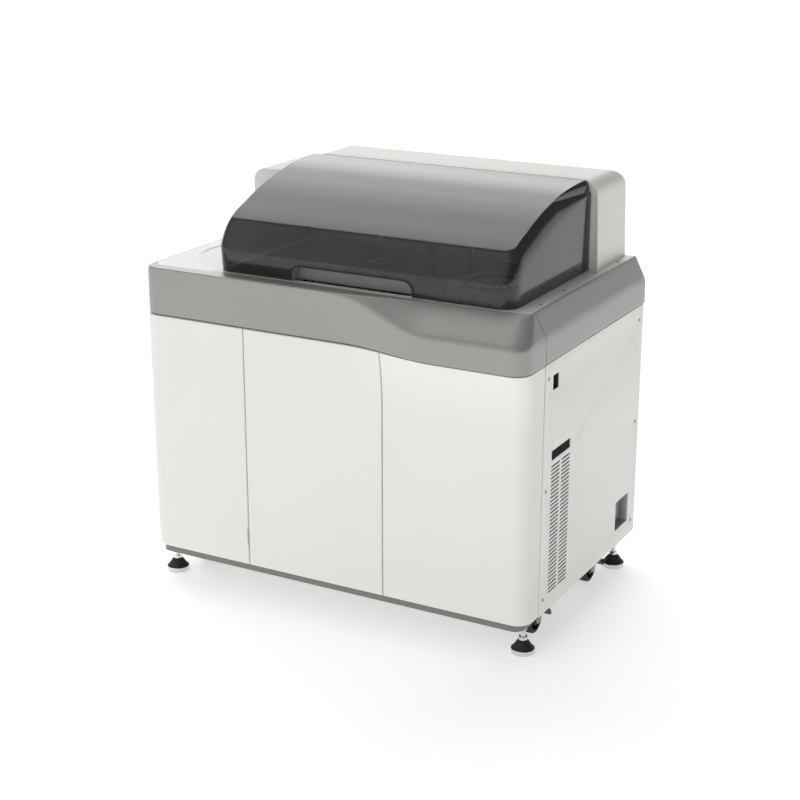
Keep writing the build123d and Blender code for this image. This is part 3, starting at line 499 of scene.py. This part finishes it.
def band_stations():
    """Base point, top point, deck-edge point and knee height, all round the front band."""
    out = []
    for y in (-257.2, -262, -272):
        out.append(((-BAND_HALF, y), (TOP_LEFT_X, y), (LEDGE_LEFT_X, y), KNEE_SIDE))
    for k in range(13):
        a = math.pi / 2 * k / 12
        out.append((
            left_corner(-BAND_HALF, Y_BAND_LEFT, BAND_CORNER, a),
            left_corner(TOP_LEFT_X, TOP_LEFT_Y, TOP_LEFT_R, a),
            left_corner(LEDGE_LEFT_X, LEDGE_LEFT_Y, LEDGE_LEFT_R, a),
            mix(KNEE_SIDE, KNEE_LEFT, k / 12)))
    count = 96
    for k in range(1, count):
        u = k / count
        xb = mix(-BAND_FLAT, BAND_FLAT, u)
        xt = mix(TOP_LEFT_X + TOP_LEFT_R, TOP_RIGHT_X - TOP_RIGHT_R, u)
        xl = mix(LEDGE_LEFT_X + LEDGE_LEFT_R, LEDGE_RIGHT_X - LEDGE_RIGHT_R, u)
        share = smooth(xt, *TOP_BULGE)
        base = (xb, mix(Y_BAND_LEFT, Y_BAND_RIGHT, smooth(xb, BULGE_START, BULGE_END)))
        top = (xt, mix(TOP_LEFT_Y, TOP_RIGHT_Y, share))
        ledge = (xl, mix(LEDGE_LEFT_Y, LEDGE_RIGHT_Y, smooth(xl, *LEDGE_STEP)))
        out.append((base, top, ledge, mix(KNEE_LEFT, KNEE_RIGHT, share)))
    for k in range(15):
        a = math.pi / 2 * k / 14
        out.append((
            right_corner(BAND_HALF, Y_BAND_RIGHT, BAND_CORNER, a),
            right_corner(TOP_RIGHT_X, TOP_RIGHT_Y, TOP_RIGHT_R, a),
            right_corner(LEDGE_RIGHT_X, LEDGE_RIGHT_Y, LEDGE_RIGHT_R, a),
            KNEE_RIGHT))
    for y in (-325, -300, -275, -262, -257.2):
        yt = max(y, -258.8)
        out.append(((BAND_HALF, y), (TOP_RIGHT_X, yt), (LEDGE_RIGHT_X, yt), KNEE_RIGHT))
    return out


def band_column(base, top, ledge, knee):
    """One slice of the band from its lower lip to the deck's edge."""
    base = Vector((*base, 0))
    top = Vector((*top, 0))
    ledge = Vector((*ledge, 0))
    inward = top - base
    run = inward.length
    rise = Z_DECK - knee
    length = math.hypot(run, rise)
    unit = inward.normalized() if run > 0.01 else Vector((0, 0, 0))
    points = []
    for inset, lift in ((6.0, 0.0), (1.2, 0.0), (0.35, 0.35), (0.0, 1.2)):
        points.append(base + unit * inset + Vector((0, 0, Z_BAND + lift)))
    points += [base + Vector((0, 0, mix(Z_BAND + 2, knee - 12, k / 5))) for k in range(1, 6)]
    soft = min(12.0, length * 0.45)
    start = base + Vector((0, 0, knee - 12))
    middle = base + Vector((0, 0, knee))
    along = (inward + Vector((0, 0, rise))) / length
    end = middle + along * soft
    for k in range(1, 7):
        t = k / 6
        points.append(start * (1 - t) ** 2 + middle * 2 * t * (1 - t) + end * t * t)
    over = ledge - top
    edge = min(3.0, over.length * 0.4)
    crown = top + Vector((0, 0, Z_DECK))
    before = crown - along * min(3.0, length * 0.25)
    for k in range(1, 6):
        points.append(end.lerp(before, k / 5))
    after = crown + over.normalized() * edge
    for k in range(1, 5):
        t = k / 4
        points.append(before * (1 - t) ** 2 + crown * 2 * t * (1 - t) + after * t * t)
    deck_edge = ledge + Vector((0, 0, Z_DECK))
    points += [after.lerp(deck_edge, 0.5), deck_edge, deck_edge - Vector((0, 0, 2.6))]
    return points


def build_bands():
    columns = [band_column(*station) for station in band_stations()]
    rows = [list(row) for row in zip(*columns)]
    mesh = grid_mesh("front_band_skin", rows)
    piece = new_piece("front_band_skin", mesh, "chassis", SILVER_LACQUER, "band_silver", "front_band")
    thicken(piece, BAND_SHEET, 40)
    sides = (
        ("left", -BAND_HALF, TOP_LEFT_X, LEDGE_LEFT_X, KNEE_SIDE),
        ("right", BAND_HALF, TOP_RIGHT_X, LEDGE_RIGHT_X, KNEE_RIGHT))
    for side, base_x, top_x, ledge_x, knee in sides:
        columns = []
        for y in (-255.3, -254.6, -240, 0, 240, Y_BACK - 0.7, Y_BACK):
            columns.append(band_column((base_x, y), (top_x, y), (ledge_x, y), knee))
        if side == "left":
            columns.reverse()
        rows = [list(row) for row in zip(*columns)]
        name = "side_band_" + side
        mesh = grid_mesh(name + "_skin", rows)
        piece = new_piece(name + "_skin", mesh, "chassis", SILVER_LACQUER, "band_silver", name)
        thicken(piece, BAND_SHEET, 40)


# Hood: a rounded waist, a brow that leans back, cheeks that lean in and a sweeping crown

HOOD_LEFT = -355
HOOD_RIGHT = 472
HOOD_FRONT = -276
HOOD_BACK = 178
HOOD_LOW = 861.3
HOOD_CORNER = 45
HOOD_SHEET = 2.9
BROW_LEAN = 10
# A wall rises to the crease and leans in from there to the fold. Behind ROUNDING_FROM it also
# rounds over from the fold into the crown.
CREASE_FRONT = 920
CREASE_SIDE = 928
CREASE_FROM = -238
CREASE_RUN = 429
CREASE_RISE = 0.303
CREASE_BOW = 14
FOLD_FRONT = 1067
FOLD_REAR = 1062
ROUNDING_FROM = -9
# y and z of the crown, from the brow to the rear
CREST = (
    (-244, 980), (-239, 988), (-232, 993.5), (-200, 1008), (-167, 1020.5), (-112, 1041.5),
    (-61, 1057), (-24, 1066), (36, 1079), (97, 1086), (160, 1089.3), (178, 1089.8))
CHEEK_IN = 21
TIP_R = 32


def crest(y):
    """Height of the crown at y, a smooth curve through the marks."""
    marks = CREST
    k = max(i for i in range(len(marks) - 1) if marks[i][0] <= y or i == 0)
    y0, z0 = marks[k]
    y1, z1 = marks[k + 1]
    before = marks[max(k - 1, 0)]
    after = marks[min(k + 2, len(marks) - 1)]
    m0 = (z1 - before[1]) / (y1 - before[0])
    m1 = (after[1] - z0) / (after[0] - y0)
    u = min(max((y - y0) / (y1 - y0), 0), 1)
    run = y1 - y0
    rise = (2 * u**3 - 3 * u**2 + 1) * z0 + (u**3 - 2 * u**2 + u) * run * m0
    return rise + (3 * u**2 - 2 * u**3) * z1 + (u**3 - u**2) * run * m1


def curve(p, q, r, count):
    """Points of a curve from p to r that heads for q, without its start."""
    out = []
    for k in range(1, count + 1):
        u = k / count
        out.append(p * (1 - u) ** 2 + q * 2 * u * (1 - u) + r * u * u)
    return out


def side_crease(y):
    """Height where a side wall starts to lean in. It rises towards the rear in a slight bow."""
    bow = math.sin(math.pi * min(max((y - CREASE_FROM) / CREASE_RUN, 0), 1))
    return CREASE_SIDE + CREASE_RISE * (y - CREASE_FROM) + CREASE_BOW * bow


def hood_column(side, turn, y_low, y_top):
    """Points from the rim up to the crown's edge. turn is 0 on the front and 1 on a side."""
    wall = HOOD_RIGHT if side > 0 else HOOD_LEFT
    angle = turn * math.pi / 2
    hook = HOOD_CORNER * (1 - math.sin(angle))
    tip = CHEEK_IN + TIP_R * (1 - math.sin(angle))
    if turn < 1:
        y_low = HOOD_FRONT + HOOD_CORNER * (1 - math.cos(angle))
        y_top = CREST[0][0] + TIP_R * (1 - math.cos(angle))
    waist_y = y_low - BROW_LEAN * math.cos(angle)
    rear = min(max((y_top - ROUNDING_FROM) / (HOOD_BACK - ROUNDING_FROM), 0), 1)
    crease = mix(CREASE_FRONT, CREASE_SIDE, turn) if turn < 1 else side_crease(waist_y)
    rim = Vector((wall - side * hook, y_low, HOOD_LOW))
    waist = Vector((wall - side * hook, waist_y, crease))
    inset = mix(tip, tip - 3, rear)
    edge = Vector((wall - side * inset, y_top, crest(y_top)))
    fold_z = min(crest(y_top), mix(FOLD_FRONT, FOLD_REAR, rear))
    fold = Vector((wall - side * mix(tip, 5, rear), y_top, fold_z))
    if rear == 0:
        fold = edge
    upright = Vector((waist.x, mix(waist.y, fold.y, 0.5), mix(waist.z, fold.z, 0.62)))
    aim = waist.lerp(fold, 0.5).lerp(upright, math.sin(angle))
    points = [rim, rim.lerp(waist, 0.03), rim.lerp(waist, 0.5), rim.lerp(waist, 0.93)]
    points += curve(rim.lerp(waist, 0.93), waist, waist.lerp(aim, 0.12), 3)
    points += curve(points[-1].copy(), aim, fold, 8)
    bulge = Vector((fold.x, y_top, mix(fold.z, edge.z, 0.75)))
    points += curve(fold, bulge, edge, 6)
    return points


def hood_columns(side):
    """Columns of one end: from the rear along the side wall and round to the front."""
    columns = []
    for k in range(33):
        y = mix(HOOD_BACK, HOOD_FRONT + HOOD_CORNER, k / 32)
        top = mix(HOOD_BACK, CREST[0][0] + TIP_R, k / 32)
        columns.append(hood_column(side, 1, y, top))
    for k in range(11, -1, -1):
        columns.append(hood_column(side, k / 12, 0, 0))
    return columns


def build_hood():
    """Walls and crown joined into one sheet, given its thickness, with the notch cut out."""
    left = hood_columns(-1)
    right = hood_columns(1)
    shares = [k / 14 for k in range(1, 14)]
    front = [[p.lerp(q, u) for p, q in zip(left[-1], right[-1])] for u in shares]
    columns = left + front + right[::-1]
    walls = [[tuple(p) for p in row] for row in zip(*columns)]
    form = bmesh.new()
    crown = []
    for p, q in zip(left[::-1], right[::-1]):
        crown.append([tuple(p[-1].lerp(q[-1], u)) for u in [0, 0.012] + shares + [0.988, 1]])
    for rows in (walls, crown[::-1]):
        verts = [[form.verts.new(Vector(p) * MM) for p in row] for row in rows]
        for i in range(len(rows) - 1):
            for j in range(len(rows[0]) - 1):
                corners = (verts[i][j], verts[i][j + 1], verts[i + 1][j + 1], verts[i + 1][j])
                form.faces.new(corners)
    bmesh.ops.remove_doubles(form, verts=form.verts, dist=0.00005)
    bmesh.ops.dissolve_degenerate(form, edges=form.edges, dist=0.00005)
    bmesh.ops.recalc_face_normals(form, faces=form.faces)
    middle = Vector((58, -20, 950)) * MM
    top = max(form.faces, key=lambda face: face.calc_center_median().z)
    if top.normal.dot(top.calc_center_median() - middle) < 0:
        bmesh.ops.reverse_faces(form, faces=form.faces)
    mesh = bpy.data.meshes.new("hood_shell")
    form.to_mesh(mesh)
    form.free()
    piece = new_piece("hood_shell", mesh, "hood", SMOKED, "smoked_plastic", "hood")
    thicken(piece, HOOD_SHEET)
    cutter = bpy.data.objects.new("notch_cutter", notch_mesh())
    bpy.context.scene.collection.objects.link(cutter)
    cut = piece.modifiers.new("notch", "BOOLEAN")
    cut.object = cutter
    cut.solver = "EXACT"
    mesh = evaluated(piece)
    bpy.data.objects.remove(cutter)
    shade(mesh, 34)


NOTCH_LEFT = -128
NOTCH_RIGHT = 212
NOTCH_TOP = 903
NOTCH_R = 27
NOTCH_FOOT = 855
NOTCH_NEAR = -320
NOTCH_FAR = -262
EDGING_IN = 2.2
EDGING_OUT = 3.2
EDGING_DEPTH = 4


def notch_outline(grow):
    """The handle notch's outline from the left foot up and over to the right foot."""
    left = NOTCH_LEFT - grow
    right = NOTCH_RIGHT + grow
    top = NOTCH_TOP + grow
    r = NOTCH_R + grow
    points = [(left, NOTCH_FOOT)]
    for k in range(11):
        a = math.pi / 2 * k / 10
        points.append((left + r - r * math.cos(a), top - r + r * math.sin(a)))
    for k in range(11):
        a = math.pi / 2 * k / 10
        points.append((right - r + r * math.sin(a), top - r + r * math.cos(a)))
    points.append((right, NOTCH_FOOT))
    return points


def notch_mesh():
    """The closed block that cuts the notch out of the hood."""
    form = bmesh.new()
    near = [form.verts.new(Vector((x, NOTCH_NEAR, z)) * MM) for x, z in notch_outline(0)]
    far = [form.verts.new(Vector((x, NOTCH_FAR, z)) * MM) for x, z in notch_outline(0)]
    form.faces.new(near)
    form.faces.new(far[::-1])
    for k in range(len(near)):
        n = (k + 1) % len(near)
        form.faces.new((near[k], far[k], far[n], near[n]))
    bmesh.ops.recalc_face_normals(form, faces=form.faces)
    mesh = bpy.data.meshes.new("notch_form")
    form.to_mesh(mesh)
    form.free()
    return mesh


def build_notch_edging():
    """Rubber strip pushed over the notch's edge, about 5 mm wide, ending just over the deck."""
    inner = notch_outline(-EDGING_IN)
    outer = notch_outline(EDGING_OUT)
    rows = []
    for (xi, zi), (xo, zo) in zip(inner, outer):
        y = HOOD_FRONT - BROW_LEAN * (zo - Z_DECK) / (CREASE_FRONT - Z_DECK)
        back = y + EDGING_DEPTH
        rows.append([
            (xi, back, zi), (xi, y - 0.2, zi), (xi, y - 1.2, mix(zi, zo, 0.3)),
            (xo, y - 1.2, mix(zi, zo, 0.8)), (xo, y - 0.2, zo), (xo, back, zo), (xi, back, zi)])
    for row in (rows[0], rows[-1]):
        for k, (x, y, z) in enumerate(row):
            row[k] = (x, y, HOOD_LOW + 0.3)
    mesh = grid_mesh("notch_edging", rows)
    shade(mesh, 40)
    new_piece("notch_edging", mesh, "hood", BLACK_RUBBER, "black_plastic")


build_doors()
build_bands()
build_hood()
build_notch_edging()

# Heights of the rubber cone on a foot, and the corner of the fittings that is the handle pocket
CONE_LOW = 13.5
CONE_HIGH = 36
POCKET_BACK = -200
POCKET_TOP = 915
# Every other piece: its finish, and the width in mm of the bevel on its edges
PLAIN = {
    "base_frame": (FRAME_GREY, 1.5),
    "frame_posts": (FRAME_GREY, 2.0),
    "cabinet_walls": (ZINC, 0.3),
    "side_panel_left": (POWDER_WHITE, 0.5),
    "side_panel_right": (POWDER_WHITE, 0.35),
    "rear_panel": (POWDER_WHITE, 0.35),
    "vent_filter": (FILTER_FOAM, 0.0),
    "panel_screws": (SCREW_STEEL, 0.3),
    "door_pins": (SCREW_STEEL, 0.4),
    "deck": (DECK_WHITE, 0.6),
    "work_deck": (STAINLESS, 0.8),
    "sample_disk": (ANODISED_GREY, 0.5),
    "sample_tubes": (TUBE_PLASTIC, 0.0),
    "reaction_disk": (ANODISED_BLACK, 0.5),
    "cuvettes": (CUVETTE, 0.0),
    "reagent_disk": (ANODISED_GREY, 0.4),
    "reagent_bottles": (BOTTLE_WHITE, 1.5),
    "sample_post": (POLISHED, 0.5),
    "sample_arm": (ARM_WHITE, 0.8),
    "reagent_post": (POLISHED, 0.5),
    "reagent_arm": (ARM_WHITE, 0.8),
    "mixer_post": (POLISHED, 0.5),
    "mixer_arm": (ARM_WHITE, 0.6),
    "wash_head": (POLISHED, 0.5),
    "hood_fittings": (BLACK_NYLON, 0.8),
    "hinge_brackets": (BLACK_NYLON, 0.8),
    "rear_cover": (COVER_WHITE, 0.8),
    "side_cover": (COVER_WHITE, 0.8),
    "access_panel": (COVER_WHITE, 0.7),
    "power_supply": (ZINC, 0.8),
    "pump_unit": (PUMP_GREY, 1.5),
    "fluid_tanks": (TANK_WHITE, 1.0),
    "switch_housing": (BLACK_NYLON, 0.5),
    "power_rocker": (BLACK_GLOSS, 0.8),
    "inlet_plate": (ZINC, 0.4),
    "power_inlet": (BLACK_NYLON, 0.5),
    "drain_fitting": (BLACK_NYLON, 0.8),
}
for end in ("front", "rear"):
    for hand in ("left", "right"):
        PLAIN["foot_" + end + "_" + hand] = (CHROME, 0.5)
        PLAIN["caster_fork_" + end + "_" + hand] = (SCREW_STEEL, 0.8)
        PLAIN["caster_wheel_" + end + "_" + hand] = (BLACK_RUBBER, 0.8)
        PLAIN["caster_pedal_" + end + "_" + hand] = (BLACK_NYLON, 1.0)
for node, (material, edge) in PLAIN.items():
    piece = softened(node, material, edge)
    if node.startswith("foot_"):
        banded(piece, [BLACK_RUBBER], lambda p: 1 if CONE_LOW < p.z < CONE_HIGH else 0)
    if node == "hood_fittings":
        banded(piece, [SMOKED_SOLID], lambda p: 1 if p.y < POCKET_BACK and p.z < POCKET_TOP else 0)


# What repeats: serum in the open tubes, blue neck rings on the bottles, made with nodes


def ring_places(centre, radius, count, z, phase=0.0):
    places = []
    for k in range(count):
        a = 2 * math.pi * k / count + phase
        places.append((centre[0] + radius * math.cos(a), centre[1] + radius * math.sin(a), z))
    return places


def repeated(name, places, radius, height, wall, body, material, slot):
    """One small round shape on every place: a solid plug, or a ring if it has a wall."""
    cloud = bpy.data.meshes.new(name + "_places")
    cloud.from_pydata([Vector(p) * MM for p in places], [], [])
    piece = new_piece(name, cloud, body, material, slot)
    tree = bpy.data.node_groups.new(name + "_copies", "GeometryNodeTree")
    tree.interface.new_socket("Geometry", in_out="INPUT", socket_type="NodeSocketGeometry")
    tree.interface.new_socket("Geometry", in_out="OUTPUT", socket_type="NodeSocketGeometry")
    source = add(tree, "NodeGroupInput").outputs["Geometry"]
    if wall:
        path = add(tree, "GeometryNodeCurvePrimitiveCircle", {"Resolution": 40, "Radius": radius * MM})
        size = {"Width": wall * MM, "Height": height * MM}
        section = add(tree, "GeometryNodeCurvePrimitiveQuadrilateral", size).outputs["Curve"]
        soft = add(tree, "GeometryNodeFilletCurve", {"Curve": section, "Radius": wall * MM / 4})
        sweep = {"Curve": path.outputs["Curve"], "Profile Curve": soft.outputs["Curve"]}
        shape = add(tree, "GeometryNodeCurveToMesh", sweep).outputs["Mesh"]
    else:
        size = {"Vertices": 24, "Radius": radius * MM, "Depth": height * MM}
        shape = add(tree, "GeometryNodeMeshCylinder", size).outputs["Mesh"]
    copies = add(tree, "GeometryNodeInstanceOnPoints", {"Points": source, "Instance": shape})
    real = add(tree, "GeometryNodeRealizeInstances", {"Geometry": copies.outputs["Instances"]})
    dressed = add(tree, "GeometryNodeSetMaterial", {"Geometry": real.outputs["Geometry"]})
    dressed.inputs["Material"].default_value = material
    add(tree, "NodeGroupOutput", {"Geometry": dressed.outputs["Geometry"]})
    copier = piece.modifiers.new("copies", "NODES")
    copier.node_group = tree
    shade(evaluated(piece), 40)


SERUM_Z = 812
SERUM_R = 5.3
SERUM_HEIGHT = 30
NECK_Z = 857
NECK_R = 9.4
NECK_HEIGHT = 8
NECK_WALL = 1.6
OUTER_TUBES = ring_places(SAMPLE, 104, 32, SERUM_Z)
INNER_TUBES = ring_places(SAMPLE, 78, 20, SERUM_Z, math.radians(1.07))
TUBE_PLACES = OUTER_TUBES + INNER_TUBES
NECK_PLACES = ring_places(REAGENT, 71, 20, NECK_Z, math.pi / 20)
repeated(
    "serum_columns", TUBE_PLACES, SERUM_R, SERUM_HEIGHT, 0,
    "sample_carousel", SERUM, "tube_plastic")
repeated(
    "bottle_neck_rings", NECK_PLACES, NECK_R, NECK_HEIGHT, NECK_WALL,
    "reagent_carousel", CAP_BLUE, "bottle_white")


# Studio

# The photograph's own viewpoint, in metres. Back points from the object to the camera.
CAMERA_PLACE = (2.0298, -3.6623, 1.8868)
CAMERA_BACK = (0.4555, -0.8322, 0.3163)
CAMERA_LENS = 75.14
FLOOR_HALF = 30


def build_stage():
    """A white paper floor that glows a little, so that it reads as the picture's plain white."""
    form = bmesh.new()
    bmesh.ops.create_grid(form, x_segments=1, y_segments=1, size=FLOOR_HALF)
    mesh = bpy.data.meshes.new("studio_floor")
    form.to_mesh(mesh)
    form.free()
    floor = bpy.data.objects.new("studio_floor", mesh)
    bpy.context.scene.collection.objects.link(floor)
    made = bpy.data.materials.new("seamless_white_paper")
    made.use_nodes = True
    skin = made.node_tree.nodes["Principled BSDF"]
    skin.inputs["Base Color"].default_value = (0.8, 0.8, 0.8, 1)
    skin.inputs["Roughness"].default_value = 0.9
    skin.inputs["Specular IOR Level"].default_value = 0.0
    skin.inputs["Emission Color"].default_value = (1, 1, 1, 1)
    skin.inputs["Emission Strength"].default_value = 0.54
    mesh.materials.append(made)


def lobe(tree, direction, aim, start, end, strength):
    """A soft patch of light in the sky, brightest towards aim."""
    unit = Vector(aim).normalized()
    along = add(tree, "ShaderNodeVectorMath", {0: direction}, operation="DOT_PRODUCT")
    along.inputs[1].default_value = unit
    dot = along.outputs["Value"]
    patch = add(tree, "ShaderNodeMapRange", {"Value": dot}, interpolation_type="SMOOTHSTEP")
    patch.inputs["From Min"].default_value = start
    patch.inputs["From Max"].default_value = end
    patch.inputs["To Max"].default_value = strength
    return patch.outputs["Result"]


def build_world():
    """A white cove: bright all round up to eye height, dim overhead, one large box light high at
    the back left and a broad soft light at the front."""
    world = bpy.data.worlds.new("studio")
    bpy.context.scene.world = world
    world.use_nodes = True
    tree = world.node_tree
    tree.nodes.clear()
    direction = add(tree, "ShaderNodeTexCoord").outputs["Generated"]
    height = add(tree, "ShaderNodeSeparateXYZ", {"Vector": direction}).outputs["Z"]
    wall = add(tree, "ShaderNodeMapRange", {"Value": height}, interpolation_type="SMOOTHSTEP")
    wall.inputs["From Min"].default_value = 0.08
    wall.inputs["From Max"].default_value = 0.26
    wall.inputs["To Min"].default_value = 1.0
    wall.inputs["To Max"].default_value = 0.14
    total = wall.outputs["Result"]
    back_box = ((-0.46, 0.60, 0.66), 0.78, 0.92, 2.2)
    front_light = ((-0.35, -0.90, 0.30), 0.30, 0.92, 0.66)
    for light in (back_box, front_light):
        part = lobe(tree, direction, *light)
        total = add(tree, "ShaderNodeMath", {0: total, 1: part}, operation="ADD").outputs["Value"]
    back = add(tree, "ShaderNodeBackground", {"Strength": total})
    back.inputs["Color"].default_value = (1, 1, 1, 1)
    add(tree, "ShaderNodeOutputWorld", {"Surface": back.outputs["Background"]})


def build_camera():
    data = bpy.data.cameras.new("photo_view")
    data.lens = CAMERA_LENS
    data.sensor_width = 36
    camera = bpy.data.objects.new("photo_view", data)
    bpy.context.scene.collection.objects.link(camera)
    camera.location = CAMERA_PLACE
    back = Vector(CAMERA_BACK)
    camera.rotation_euler = (-back).to_track_quat("-Z", "Y").to_euler()
    bpy.context.scene.camera = camera


bpy.context.scene.view_settings.view_transform = "Standard"
build_stage()
build_world()
build_camera()
